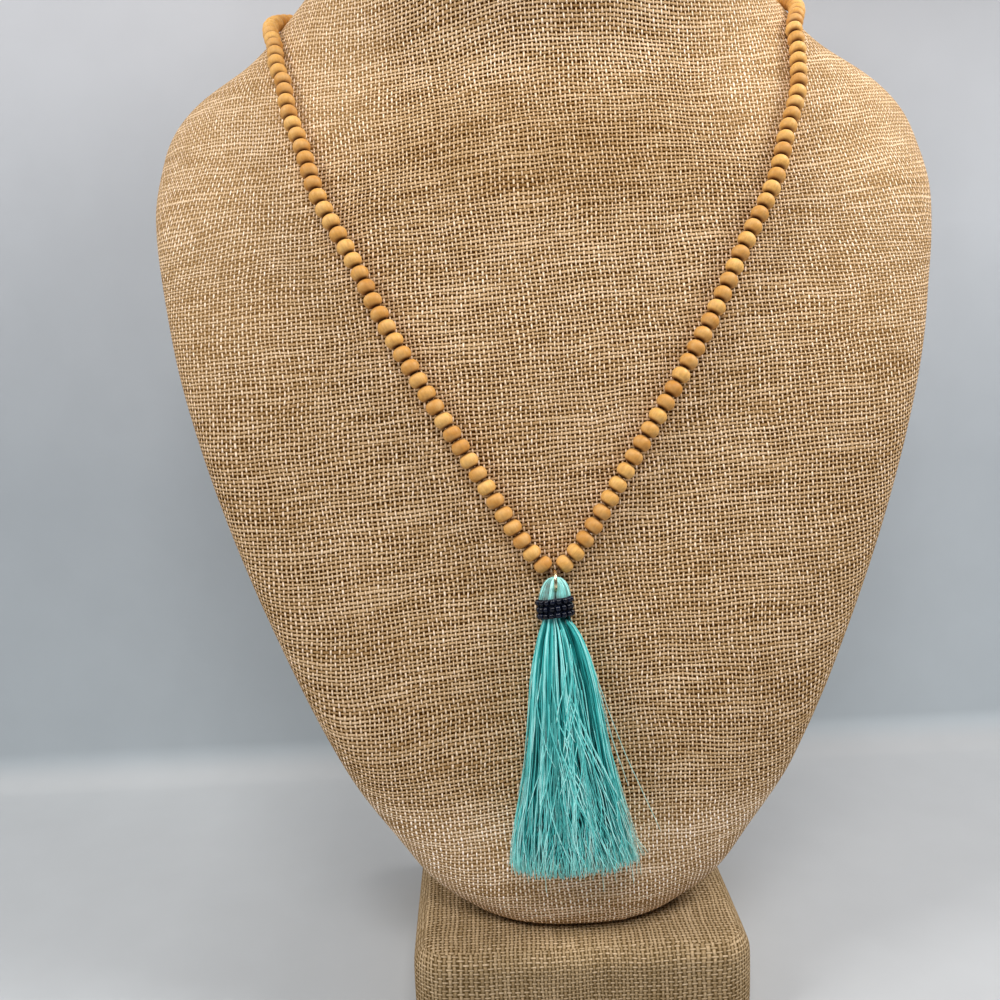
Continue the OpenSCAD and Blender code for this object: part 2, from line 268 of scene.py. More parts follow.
def weave_group():
    """Plain weave in thread counts: narrow warp along y, broad weft along x."""
    tree, given, out = new_group(
        "burlap weave",
        ("Threads", "Warp Width", "Weft Width", "Slub", "Wander"),
        ("Warp", "Cover", "Height", "Weft Tone", "Warp Tone", "Patch"),
    )
    threads = given["Threads"]
    stray_x, stray_y, _ = parted(noise(threads, 0.05, 2.0, colour=True))
    x, y, _ = parted(threads)
    x = x + (stray_x - 0.5) * given["Wander"]
    y = y + (stray_y - 0.5) * given["Wander"]
    column = maths("FLOOR", x)
    row = maths("FLOOR", y)

    def thread_noise(along, index, run, seed, detail=0.0):
        """Noise that runs along a thread and differs from thread to thread."""
        return noise(joined(along * run, index * THREAD_APART, seed), 1.0, detail)

    def thread_set(along, across, index, width, fibre, lie, swell, long, wave, round_top, tones):
        """Top and brightness of threads that lie a little uneven and swell along their length. The brightness
        holds painted shade on each thread's sides and where it dips under the crossing threads.
        """
        off = across - (index + 0.5) - (thread_noise(along, index, *lie[:2]) - 0.5) * lie[2]
        slub = (thread_noise(along, index, *swell[:2], 1.0) - 0.5) * swell[2] * given["Slub"]
        share = off / (given[width] * (slub + 1.0))
        section = maths("SQRT", maths("MAXIMUM", 1.0 - share * share, 0.0))
        rise = maths("COSINE", (along - 0.5 + index) * math.pi) * wave
        beside = maths("LESS_THAN", section, THREAD_EDGE) * 2.0
        values = (section, rise, fibre, thread_noise(along, index, *long, 2.0))
        # Section and rise tones are painted shade: darker at a thread's sides and where it dips.
        first, *others = (ranged(value, *limits) for value, limits in zip(values, tones))
        return rise + section * round_top - beside, math.prod(others, start=first)

    weft_fibre = noise(joined(x * 0.8, y * 9.0, 5.0), 1.0, 2.0)
    warp_fibre = noise(joined(x * 9.0, y * 0.8, 15.0), 1.0, 2.0)
    weft_top, weft_shade_tone = thread_set(x, y, row, "Weft Width", weft_fibre, **WEFT)
    warp_top, warp_shade_tone = thread_set(y, x, column, "Warp Width", warp_fibre, **WARP)
    top = maths("MAXIMUM", warp_top, weft_top)
    feed_all(
        out,
        Warp=ranged(warp_top - weft_top, -0.12, 0.12),
        Cover=ranged(top, -1.1, -0.25),
        Height=maths("MAXIMUM", top, -1.0),
        Weft_Tone=weft_shade_tone,
        Warp_Tone=warp_shade_tone,
        Patch=noise(joined(x * 0.035, y * 0.16, 77.0), 1.0, 2.0),
    )
    return tree


def jute_group():
    """Colour of jute of a given brightness: the darker, the redder."""
    tree, given, out = new_group(
        "jute colour", ("Level", "Green", "Green Power", "Blue", "Blue Power"), ("Color",)
    )
    level = given["Level"]
    green = maths("POWER", level, given["Green Power"]) * given["Green"]
    blue = maths("POWER", level, given["Blue Power"]) * given["Blue"]
    feed_all(out, Color=joined(level, green, blue))
    return tree


WANDER = 2.4  # how far the threads stray, in threads
# Gap level where painted light lightens the gaps.
LIT_GAP = 0.33
THROAT_SHADE = 0.17


def bust_light(x, z):
    """Where the bust's cover is drawn lighter, and how bright its threads are, by place: painted light on the
    shoulders, the neck's sides and the hem, painted shade under the throat and painted light on the neck above
    it.
    """
    aside = maths("ABSOLUTE", x)
    shoulder = ranged(aside, 0.06, 0.125, smooth=True) * ranged(z, 0.17, 0.28, smooth=True)
    neck_side = ranged(aside, 0.042, 0.07, smooth=True) * ranged(z, 0.272, 0.305, 0.0, 0.8, smooth=True)
    hem = ranged(z, 0.08, 0.068, 0.0, 0.6)
    # Lighter gaps and brighter threads on the shoulders, the neck's sides and the hem: painted light.
    lit_mask = maths("MAXIMUM", maths("MAXIMUM", shoulder, neck_side), hem)
    # Painted shade under the throat, turning to painted light on the neck above it.
    throat = ranged(aside, 0.03, 0.07, 1.0, 0.0, smooth=True) * ranged(z, 0.258, 0.274)
    throat = throat * ranged(z, 0.293, 0.312, 1.0, -0.35) * ranged(z, 0.38, 0.392, 1.0, 0.0)
    shade = ranged(lit_mask, 0.0, 1.0, 1.0, 1.13) - throat * THROAT_SHADE
    # Threads brighter towards the hem: painted light.
    return lit_mask, shade * ranged(z, 0.068, 0.086, 1.24, 1.0, smooth=True)


def burlap(name, tints, pitch, shear, levels, widths, slub, bust=False):
    """Coarse burlap. The map named cloth is in metres along and up the cloth.

    Tints are the jute group's green and blue, each with its power. Pitch, shear in degrees and
    widths are of warp and weft. Levels are of gap, weft, brown weft and warp.
    """
    material, tree, shader = new_material(name)
    u, v, _ = parted(uv_of(tree, "cloth"))
    gap, pale_weft, brown_weft, warp = levels
    if bust:
        back, behind, _ = parted(uv_of(tree, "seam"))
        u = u + (back - u) * maths("GREATER_THAN", behind, 0.0)
    else:
        u, v = v, u
    along = (u + v * math.tan(math.radians(shear[0]))) / pitch[0]
    up = (v - u * math.tan(math.radians(shear[1]))) / pitch[1]
    place = joined(along, up)
    cloth = use_group(
        tree, weave, Threads=place, Warp_Width=widths[0], Weft_Width=widths[1], Slub=slub, Wander=WANDER
    )
    patch = cloth["Patch"]
    weft = ranged(patch, 0.46, 0.72, pale_weft, brown_weft) * ranged(patch, 0.3, 0.7, 0.88, 1.12)
    level = ranged(cloth["Warp"], 0.0, 1.0, weft * cloth["Weft Tone"], cloth["Warp Tone"] * warp)
    height = cloth["Height"]
    if bust:
        x, _, z = parted(own_place(tree))
        lit_mask, shade = bust_light(x, z)
        # Gaps drawn lighter where the cover is lit, and threads brightened and darkened by place: painted light
        # and painted shade.
        gap = ranged(lit_mask, 0.0, 1.0, gap, LIT_GAP)
        level = level * shade
    level = ranged(cloth["Cover"], 0.0, 1.0, gap, level)
    if bust:
        from_seam = maths("MINIMUM", maths("ABSOLUTE", behind), parted(uv_of(tree, "rim"))[0])
        level = level * ranged(from_seam, 0.2 * MM, 1.1 * MM, 0.35, 1.0, smooth=True)
        height = height - ranged(from_seam, 0.0, 2.2 * MM, 3.0, 0.0, smooth=True)
    colour = use_group(
        tree, jute, Level=level, Green=tints[0], Green_Power=tints[1], Blue=tints[2], Blue_Power=tints[3]
    )["Color"]
    feed_all(
        shader.inputs,
        Base_Color=colour,
        Roughness=0.85,
        Specular_IOR_Level=0.0,
        Sheen_Weight=0.01,
        Sheen_Roughness=0.45,
        Sheen_Tint=(1.0, 0.85, 0.62, 1.0),
    )
    bump(shader, height, 0.3 * MM)
    return material


# ---- Meshes ----
WELD = 0.002 * MM
QUAD_LIMIT = math.radians(60)
TINY = 1e-12


def select_only(*pieces):
    bpy.ops.object.select_all(action="DESELECT")
    for piece in pieces:
        piece.select_set(True)
    bpy.context.view_layer.objects.active = pieces[0]


def new_piece(name, mesh):
    return link(bpy.data.objects.new(name, mesh))


def coat(piece, material):
    """Gives a piece this one material."""
    piece.data.materials.clear()
    piece.data.materials.append(material)


def ride_root(piece):
    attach(piece, "root")


def turn_out(piece, weld=False, quads=False):
    """Makes a piece's faces look outwards, after welding its points and joining its triangles."""
    select_only(piece)
    bpy.ops.object.mode_set(mode="EDIT")
    bpy.ops.mesh.select_all(action="SELECT")
    if weld:
        bpy.ops.mesh.remove_doubles(threshold=WELD)
    if quads:
        bpy.ops.mesh.tris_convert_to_quads(face_threshold=QUAD_LIMIT, shape_threshold=QUAD_LIMIT)
    bpy.ops.mesh.normals_make_consistent(inside=False)
    bpy.ops.object.mode_set(mode="OBJECT")


def welded_copy(node, name, quads):
    """Copy of a CAD node's mesh with its points welded."""
    piece = new_piece(name, nodes[node].data.copy())
    turn_out(piece, True, quads)
    return piece


def measured(node, measure):
    """What a measure gives for a CAD node's welded mesh."""
    source = welded_copy(node, "measured", False)
    result = measure(source.data)
    bpy.data.objects.remove(source)
    return result


def read(items, field, width=1, kind=float):
    """A field of all items, as numbers or as rows of numbers."""
    values = np.empty(len(items) * width, kind)
    items.foreach_get(field, values)
    return values.reshape(-1, width) if width > 1 else values


def points_of(mesh):
    return read(mesh.vertices, "co", 3)


def write_map(mesh, name, *columns):
    layer = mesh.uv_layers.new(name=name)
    layer.data.foreach_set("uv", np.stack(columns, -1).astype(np.float32).ravel())


def running(steps, axis=0):
    """Running sums of steps, from 0."""
    return np.insert(np.cumsum(steps, axis=axis), 0, 0, axis=axis)


def unit(vectors):
    return vectors / (np.linalg.norm(vectors, axis=-1, keepdims=True) + TINY)


def islands(mesh):
    """Points of each loose part."""
    edges = read(mesh.edges, "vertices", 2, int)
    points = points_of(mesh)
    label = np.arange(len(points))
    while True:
        low = np.minimum(label[edges[:, 0]], label[edges[:, 1]])
        new = label.copy()
        np.minimum.at(new, edges[:, 0], low)
        np.minimum.at(new, edges[:, 1], low)
        new = new[new]
        if (new == label).all():
            return [points[label == k] for k in np.unique(label)]
        label = new


def turned_form(points):
    """Middle, axis and length of a turned form. Its spread along the axis differs from the other two."""
    values, vectors = np.linalg.eigh(np.cov((points - points.mean(0)).T))
    axis = vectors[:, 0 if values[1] - values[0] > values[2] - values[1] else 2]
    span = points @ axis
    centre = points.mean(0)
    centre += axis * ((span.min() + span.max()) / 2 - centre @ axis)
    return centre, axis, span.max() - span.min()


def closed_tubes(name, points):
    """Mesh of tubes with closed ends, from points as tubes by rings by points round by 3."""
    index = np.arange(points[..., 0].size).reshape(points.shape[:-1])
    a, b = index[:, :-1], index[:, 1:]
    faces = np.stack((a, np.roll(a, -1, 2), np.roll(b, -1, 2), b), -1).reshape(-1, 4).tolist()
    faces += index[:, 0, ::-1].tolist() + index[:, -1].tolist()
    mesh = bpy.data.meshes.new(name)
    mesh.from_pydata(points.reshape(-1, 3).tolist(), [], faces)
    mesh.update()
    return mesh


def ring_form(name, rings, material):
    """Closed smooth piece over rings of points."""
    piece = new_piece(name, closed_tubes(name, np.array([rings])))
    turn_out(piece)
    bpy.ops.object.shade_smooth()
    coat(piece, material)
    return piece


def thread_tubes(name, paths, radii, sides, material, seeds=None):
    """Thin tubes along paths (threads by points by 3), with a map of each thread's seed and length share."""
    count, steps, _ = paths.shape
    tangent = unit(np.gradient(paths, axis=1))
    side = unit(np.cross(tangent, (0.0, 1.0, 0.0)))
    other = np.cross(tangent, side)
    rng = np.random.default_rng(len(name))
    start = rng.uniform(0, TAU, count)
    points = np.empty((count, steps, sides, 3))
    for k in range(sides):
        turn = (start + TAU * k / sides)[:, None, None]
        points[:, :, k] = paths + radii[..., None] * (np.cos(turn) * side + np.sin(turn) * other)
    mesh = closed_tubes(name, points)
    seeds = rng.uniform(0, 1, count) if seeds is None else seeds
    corner = read(mesh.loops, "vertex_index", kind=int)
    shares = np.broadcast_to(np.linspace(0, 1, steps)[:, None], (count, steps, sides)).ravel()
    write_map(mesh, "strand", np.repeat(seeds, steps * sides)[corner], shares[corner])
    mesh.shade_smooth()
    piece = new_piece(name, mesh)
    coat(piece, material)
    return piece


# ---- Bust and foot ----
FEWEST_IN_RING = 12
OFF_CENTRE = 5 * MM
SUBDIVISIONS = 2


def angle_of(points, middle):
    """Angle from the front, towards +X."""
    return np.arctan2(points[:, 0] - middle[..., 0], middle[..., 1] - points[:, 1])


def level_rings(points):
    """Level rings of a lofted form: heights, and for each its middle and its points in order of angle."""
    heights = np.round(points[:, 2] / MM, 3)
    rings = []
    for height in np.unique(heights):
        ring = points[heights == height]
        if len(ring) >= FEWEST_IN_RING:
            middle = (ring.min(0) + ring.max(0)) / 2
            ring = ring[np.argsort(angle_of(ring, middle))]
            out = np.hypot(ring[:, 0] - middle[0], ring[:, 1] - middle[1])
            rings.append((height * MM, middle, ring[out > OFF_CENTRE]))
    return rings


def split_place(place, count):
    """Whole and broken parts of places in a table, held before its last entry."""
    place = np.clip(place, 0, count - 1.001)
    whole = place.astype(int)
    return whole, place - whole


class ClothMap:
    """Lengths along a loft's level rings and up between them. The seams are 99 degrees from the front."""

    STEP = 3
    ANGLES = np.radians(np.arange(-180, 181, STEP))
    FRONT = len(ANGLES) // 2
    SEAM = 99 // STEP
    NEAR_BACK = 2.6

    def __init__(self, rings, start, spacing=None):
        self.heights = np.array([height for height, _, _ in rings])
        self.middles = np.array([middle for _, middle, _ in rings])
        grid = []
        for _, middle, ring in rings:
            angle = angle_of(ring, middle)
            angle = np.concatenate((angle - TAU, angle, angle + TAU))
            order = np.argsort(angle)
            around = np.concatenate((ring, ring, ring))[order]
            grid.append([np.interp(self.ANGLES, angle[order], around[:, k]) for k in range(3)])
        grid = np.moveaxis(np.array(grid), 1, 2)
        steps = np.linalg.norm(np.diff(grid, axis=1), axis=2)
        plain = self.along = self.from_front(steps)
        if spacing:
            aside = abs(grid[:, :, 0] - self.middles[:, :1])
            wide = spacing(self.heights[:, None], plain, aside / aside.max(1, keepdims=True))
            self.along = self.from_front(steps * 2 / (wide[:, 1:] + wide[:, :-1]))
        left = self.ANGLES < 0
        seams = plain[:, [self.FRONT - self.SEAM, self.FRONT + self.SEAM]]
        self.back = plain - np.where(left, plain[:, :1], plain[:, -1:])
        self.behind = np.where(left, seams[:, :1] - plain, plain - seams[:, 1:])
        up = running(np.linalg.norm(np.diff(grid, axis=0), axis=2))
        self.up = up - up[np.argmin(abs(self.heights - start))]

    def from_front(self, steps):
        along = running(steps, 1)
        return along - along[:, self.FRONT:self.FRONT + 1]

    def lookup(self, points, sides):
        """Lengths along, up, along from the back line, behind the side seam and up at the front, and the angle.

        Sides says which side of the back line each point is on.
        """
        row = np.interp(points[:, 2], self.heights, np.arange(len(self.heights)))
        low, share = split_place(row, len(self.heights))
        middle = self.middles[low] * (1 - share[:, None]) + self.middles[low + 1] * share[:, None]
        angle = angle_of(points, middle)
        astray = (abs(angle) > self.NEAR_BACK) & (np.sign(angle) != sides)
        angle = np.where(astray, sides * np.pi, angle)
        left, part = split_place((angle + np.pi) / (self.ANGLES[1] - self.ANGLES[0]), len(self.ANGLES))
        lengths = []
        for table in (self.along, self.up, self.back, self.behind):
            near = table[low, left] * (1 - part) + table[low, left + 1] * part
            far = table[low + 1, left] * (1 - part) + table[low + 1, left + 1] * part
            lengths.append(near * (1 - share) + far * share)
        return *lengths, np.interp(points[:, 2], self.heights, self.up[:, self.FRONT]), angle


# How the bust's cover is drawn out: heights, and values at these heights.
SPREADS = (0.24, 0.29), (0.10, -0.12)
EDGE_SPREADS = (0.10, 0.14, 0.18, 0.24, 0.28), (0.42, 0.42, 0.3, 0.08, 0.0)
PULLS = (
    (0.08, 0.09, 0.114, 0.139, 0.164, 0.188, 0.213, 0.24, 0.262, 0.287, 0.312, 0.34),
    (3.0, 2.8, 1.8, 1.2, 0.9, 0.5, 0.1, 0.15, 0.6, 1.3, 1.9, 2.2),
)
ROW_SHIFTS = (
    (0.0, 0.22, 0.24, 0.26, 0.28, 0.30, 0.40),
    (-0.0144, -0.0012, -0.0003, 0.0, -0.0003, -0.0012, -0.0072),
)
SIDE_FIRST = (0.275, 0.305), (58, 36)
SIDE_LAST = 86
SIDE_FROM = (0.25, 0.28)
BROAD_END, BROAD_UNIT = 0.13, 0.1
EDGE_FROM, EDGE_WIDTH = 0.62, 0.33
PULL_WIDTH = 0.15


def stretched(height, along, side_share):
    """How far apart the bust cover's upright threads lie, as a factor."""
    broad = np.interp(height, *SPREADS) * (np.clip(abs(along), 0, BROAD_END) / BROAD_UNIT) ** 2
    at_edge = np.clip((side_share - EDGE_FROM) / EDGE_WIDTH, 0, 1) ** 1.5
    return 1 + broad + np.interp(height, *EDGE_SPREADS) * at_edge


def draped(up, points):
    """Lengths up the bust's cover, whose level threads are pulled down at the sides."""
    aside = points[:, 0] ** 2 / (1 + (points[:, 0] / PULL_WIDTH) ** 2)
    return up + np.interp(points[:, 2], *PULLS) * aside + np.interp(points[:, 2], *ROW_SHIFTS)


def eased(value, low, high):
    """Smooth step from 0 at low to 1 at high."""
    share = np.clip((value - low) / (high - low), 0, 1)
    return share * share * (3 - 2 * share)


RIM_REACH = 6 * MM
SAME_LEVEL = 0.01 * MM
FACES_UP = 0.9


def rim_distance(points, flat):
    """Distance of points from the edge of the flat part, and 1 well away from it."""
    edge = points[flat, 2].min()
    ring = np.unique(np.round(points[flat & (points[:, 2] < edge + SAME_LEVEL)] / MM, 3), axis=0) * MM
    distance = np.ones(len(points))
    near = points[:, 2] > edge - RIM_REACH
    distance[near] = np.linalg.norm(points[near][:, None] - ring[None], axis=2).min(1)
    return distance


def dress_form(node, name, start, flat_from, material, fitted=False):
    """Smooth copy of a lofted node under cloth, with the cloth's lengths as its maps."""
    cloth = ClothMap(level_rings(points_of(nodes[node].data)), start, stretched if fitted else None)
    piece = welded_copy(node, name, True)
    modifier = piece.modifiers.new("smooth", "SUBSURF")
    modifier.levels = modifier.render_levels = SUBDIVISIONS
    bpy.ops.object.modifier_apply(modifier=modifier.name)
    mesh = piece.data
    for old in list(mesh.uv_layers):
        mesh.uv_layers.remove(old)
    points = points_of(mesh)
    corners = points[read(mesh.loops, "vertex_index", kind=int)]
    face = np.repeat(np.arange(len(mesh.polygons)), read(mesh.polygons, "loop_total", kind=int))
    sides = np.where(read(mesh.polygons, "center", 3)[face, 0] < 0, -1, 1)
    along, up, back, behind, level, angle = cloth.lookup(corners, sides)
    if fitted:
        first = np.interp(corners[:, 2], *SIDE_FIRST)
        sideways = eased(abs(np.degrees(angle)), first, SIDE_LAST) * eased(corners[:, 2], *SIDE_FROM)
        up = draped(up, corners)
        up += (draped(level, corners * (0, 1, 1)) - up) * sideways
    flat = (read(mesh.polygons, "normal", 3)[face, 2] > FACES_UP) & (corners[:, 2] > flat_from)
    top = cloth.up[-1, cloth.FRONT]
    edge = 0.0 if fitted else points[:, 1].min()
    along = np.where(flat, corners[:, 0], along)
    up = np.where(flat, top + corners[:, 1] - edge, up)
    write_map(mesh, "cloth", along, up)
    write_map(mesh, "seam", back, np.where(flat, -1.0, behind))
    write_map(mesh, "rim", rim_distance(corners, flat), back)
    coat(piece, material)
    select_only(piece)
    bpy.ops.object.shade_smooth()
    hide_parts(node)
    ride_root(piece)


# ---- Wooden beads ----
BEAD_D = 6.0 * MM
BEAD_L = 4.7 * MM
BEAD_BORE = 1.6 * MM
INSIDE_LENGTH = 0.96  # share of the bore's length that the inner rings take up
STRANDS = {"bead_strand_left": "wood_beads_left", "bead_strand_right": "wood_beads_right"}


def wood():
    """Honey-coloured unpolished wood, with a tint of its own for each bead and painted shade towards its ends,
    where the beads meet.
    """
    material, tree, shader = new_material("bead wood")
    place = attribute(tree, "grain")
    x, y, z = parted(place)
    grain = noise(joined(x * 1400.0, y * 1400.0, z * 220.0), 1.0, 3.0, 0.6)
    cloud = noise(place, 260.0, 2.0)
    # Darker towards each bead's drilled ends: painted shade between neighbouring beads.
    end = ranged(attribute(tree, "end", "Fac"), 0.62, 1.0, 0.0, 0.97, smooth=True)
    colour = layered(
        (0.6, 0.265, 0.05),
        (attribute(tree, "tint", "Fac"), (0.88, 0.49, 0.13)),
        (ranged(grain, 0.35, 0.75, 0.0, 0.5), (0.42, 0.18, 0.05)),
        (ranged(cloud, 0.4, 0.8, 0.0, 0.35), (0.98, 0.68, 0.3)),
        # Painted shade at the bead's ends.
        (end, (0.13, 0.035, 0.004)),
    )
    roughness = ranged(grain, 0.2, 0.8, 0.42, 0.6)
    feed_all(shader.inputs, Base_Color=colour, Roughness=roughness, Specular_IOR_Level=0.28)
    bump(shader, grain + cloud * 0.5, 0.035 * MM)
    return material


def bead_pattern(name, diameter, length, bore, around, section):
    """Drilled bead along Z with a round rim as wide as the bead is long, shaped from a torus."""
    major = (diameter + bore) / 4
    minor = (diameter - bore) / 4
    bpy.ops.mesh.primitive_torus_add(
        major_radius=major, minor_radius=minor, major_segments=around, minor_segments=section
    )
    piece = bpy.context.object
    piece.name = name
    rim = length / 2
    last = math.acos((bore / 2 - (diameter / 2 - rim)) / rim)
    outermost = math.floor((section - 1) / 4) * TAU / section
    bpy.ops.object.mode_set(mode="EDIT")
    shape = bmesh.from_edit_mesh(piece.data)
    for vertex in shape.verts:
        out = math.hypot(vertex.co.x, vertex.co.y)
        turn = math.atan2(vertex.co.z, out - major)
        if abs(turn) < math.pi / 2:
            held = turn / outermost * last
            reach = diameter / 2 - rim + rim * math.cos(held)
            height = rim * math.sin(held)
        else:
            reach = bore / 2
            height = rim * math.sin(last) * INSIDE_LENGTH * math.copysign(math.pi - abs(turn), turn) / outermost
        vertex.co.x *= reach / out
        vertex.co.y *= reach / out
        vertex.co.z = height
    bmesh.update_edit_mesh(piece.data)
    bpy.ops.object.mode_set(mode="OBJECT")
    bpy.ops.object.shade_smooth()
    return piece


def set_attribute(mesh, name, values):
    """Point attribute of numbers or of vectors."""
    kind, field = ("FLOAT_VECTOR", "vector") if values.ndim == 2 else ("FLOAT", "value")
    layer = mesh.attributes.new(name, kind, "POINT")
    layer.data.foreach_set(field, values.astype(np.float32).ravel())


def joined_copies(name, pattern, places, material, seed, size_spread):
    """Copies of a pattern at places (centre, axis), joined as one piece."""
    rng = random.Random(seed)
    copies = []
    for centre, axis in places:
        copy = new_piece(name, pattern.data.copy())
        local = points_of(copy.data)
        turn = Vector((0, 0, 1)).rotation_difference(Vector(axis)).to_matrix().to_4x4()
        spin = Matrix.Rotation(rng.uniform(0, TAU), 4, "Z")
        grow = Matrix.Diagonal((*(1 - rng.uniform(0, size_spread) for _ in range(2)), 1, 1))
        shift = np.array([rng.uniform(-1, 1) for _ in range(3)]) * 0.05
        set_attribute(copy.data, "grain", local + shift)
        set_attribute(copy.data, "end", abs(local[:, 2]) / abs(local[:, 2]).max())
        set_attribute(copy.data, "tint", np.full(len(local), rng.uniform(0, 1) ** 1.2))
        copy.data.transform(Matrix.Translation(centre) @ turn @ spin @ grow)
        copy.data.update()
        copies.append(copy)
    select_only(*copies)
    bpy.ops.object.join()
    piece = bpy.context.object
    piece.name = name
    piece.data.name = name
    coat(piece, material)
    return piece


def bead_places(node):
    """Centres and axes of a strand's beads, from its solids."""
    return [turned_form(bead)[:2] for bead in measured(node, islands)]


def make_beads():
    material = wood()
    pattern = bead_pattern("bead pattern", BEAD_D, BEAD_L, BEAD_BORE, 22, 18)
    for number, (node, name) in enumerate(STRANDS.items()):
        piece = joined_copies(name, pattern, bead_places(node), material, 11 + number, 0.02)
        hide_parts(node)
        ride_root(piece)
    bpy.data.objects.remove(pattern)


# ---- Tassel ----
SILK_MIDDLE = 0.38
SKIRT_TOP = 0.25 * MM  # under the ring's lowest point
SKIRT_LENGTH = 83 * MM
LEG_TOP = 2.75 * MM
HEAD_TOP = 5.75 * MM
HEAD_HALF_X, HEAD_HALF_Y = 4.75 * MM, 2.75 * MM
CORE_DEPTH = 0.66
LOWEST_TONE, HIGHEST_TONE = 0.02, 0.98


def silk(name, painted_light_rise=(0.14, 0.0), shade_scale=1.0, pale=0.0):
    """Silky turquoise thread. The map named strand holds each thread's tone and the share of its length.

    The tone is raised or lowered from a thread's start to its middle by two given values: painted light on the
    skirt's top, painted shade where a value is negative. A scale below one darkens all the colour: painted
    shade for the threads inside the skirt.
    """
    material, tree, shader = new_material(name)
    tone, along, _ = parted(uv_of(tree, "strand"))
    run = noise(joined(tone * 431.0, along * 9.0), 1.0, 2.0)
    # Tone raised or lowered from a thread's start to its middle: painted light and painted shade.
    tone = tone + (run - 0.5) * 0.9 + ranged(along, 0.05, 0.45, *painted_light_rise)
    spread = (tone - SILK_MIDDLE) * ranged(along, 0.45, 0.85, 1.0, 1.4)
    tone = spread + SILK_MIDDLE + ranged(along, 0.55, 0.95, 0.0, 0.24)
    colour = layered(
        (0.0005, 0.05, 0.05),
        (ranged(tone, 0.0, 0.42), (0.022, 0.34, 0.33)),
        (ranged(tone, 0.42, 0.8), (0.11, 0.68, 0.66)),
        (ranged(tone, 0.8, 1.15), (0.5, 1.0, 0.97)),
        (ranged(along, 0.88, 1.0, 0.0, 0.6, smooth=True), (0.42, 1.0, 0.92)),
        (pale, (0.66, 0.84, 0.74)),
    )
    # Colour scaled down for the inner threads: painted shade.
    feed_all(shader.inputs, Base_Color=scaled(colour, shade_scale), Roughness=0.32, Specular_IOR_Level=0.2)
    return material


def sections(mesh, levels):
    """Middle and half sizes of a mesh's level sections, as rows of x, y, half x, half y."""
    ends = points_of(mesh)[read(mesh.edges, "vertices", 2, int)]
    rows = []
    for level in levels:
        low, high = ends[:, 0, 2] - level, ends[:, 1, 2] - level
        cut = low * high < 0
        share = (low[cut] / (low[cut] - high[cut]))[:, None]
        hits = ends[cut, 0] + share * (ends[cut, 1] - ends[cut, 0])
        least, most = hits.min(0), hits.max(0)
        rows.append(np.concatenate(((least + most)[:2] / 2, (most - least)[:2] / 2)))
    return np.array(rows)


def smooth_curve(rng, count, steps, waves, fall=1.0):
    """Smooth random curves of about unit size, one for each strand."""
    t = np.linspace(0, 1, steps)
    total = np.zeros((count, steps))
    for k in range(1, waves + 1):
        size = rng.normal(0, 1 / k ** fall, (count, 1))
        phase = rng.uniform(0, TAU, (count, 1))
        total += size * np.sin(np.pi * k * t[None] + phase)
    return total


class Skirt:
    """The measured form of the skirt: middle and half sizes by share down from its top."""

    def __init__(self):
        self.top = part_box("jump_ring")[0].z - SKIRT_TOP
        self.shares = np.concatenate((np.linspace(0.03, 0.3, 14), np.linspace(0.33, 0.97, 17)))
        levels = self.top - self.shares * SKIRT_LENGTH
        self.rows = measured("tassel", lambda mesh: sections(mesh, levels))

    def place(self, share, angle, depth):
        """Points inside the skirt: angle from the front, and depth as a share of the way out."""
        held = np.clip(share, self.shares[0], self.shares[-1])
        x, y, half_x, half_y = (np.interp(held, self.shares, column) for column in self.rows.T)
        return np.stack((
            x + half_x * depth * np.sin(angle),
            y - half_y * depth * np.cos(angle),
            self.top - share * SKIRT_LENGTH,
        ), -1)


def end_lift(angle):
    """How much higher than the mean the skirt ends at an angle from the front."""
    return 0.011 * np.sin(angle)


def skirt_strands(
    skirt, rng, count, steps, depths, clumps, gather, sway, wander, cross, lean, ends, starts=(0.035, 0.035)
):
    """Paths of loose threads in round clumps, with each thread's tone, darker towards a clump's edges as
    painted shade.
    """
    t = np.linspace(0, 1, steps)[None]
    pitch = TAU / clumps
    clump_angle = (np.arange(clumps) + rng.uniform(-0.3, 0.3, clumps)) * pitch - np.pi
    clump_path = smooth_curve(rng, clumps, steps, 5, 0.8) * sway
    clump_tone = rng.normal(0, 0.34, clumps)
    clump_end = rng.normal(0, 0.005, clumps)
    own = rng.integers(0, clumps, count)
    place = np.clip(rng.normal(0, 1, (count, 1)), -2, 2)
    angle = clump_angle[own][:, None] + place * pitch * 0.42 * (1 - gather * (1 - t ** 2.5))
    angle = angle + (clump_path[own] + smooth_curve(rng, count, steps, 8, 0.6) * wander) * t ** 0.6
    angle = angle + (rng.normal(0, cross, (count, 1)) + lean) * t ** 1.4
    depth = rng.uniform(*depths, (count, 1)) - 0.03 * place ** 2
    depth = depth + 0.03 * np.clip(clump_tone, -0.6, 0.2)[own][:, None]
    depth = depth + smooth_curve(rng, count, steps, 6) * 0.02 * t
    first = rng.uniform(*starts, (count, 1))
    uneven = rng.uniform(-ends, ends * 0.3, (count, 1))
    last = 1.0 - end_lift(angle[:, -1:]) + clump_end[own][:, None] + uneven
    sunk = np.where(first > 0.05, 0.09 * (1 - t) ** 3, 0.0)
    paths = skirt.place(first + (last - first) * t, angle, np.clip(depth - sunk, 0.1, depths[1]))
    # Threads darker towards a clump's edges and lighter at its middle: painted shade and painted light.
    tone = 0.34 + clump_tone[own] - 0.07 * (place[:, 0] ** 2 - 1) + rng.normal(0, 0.24, count)
    return paths, np.clip(tone, LOWEST_TONE, HIGHEST_TONE)


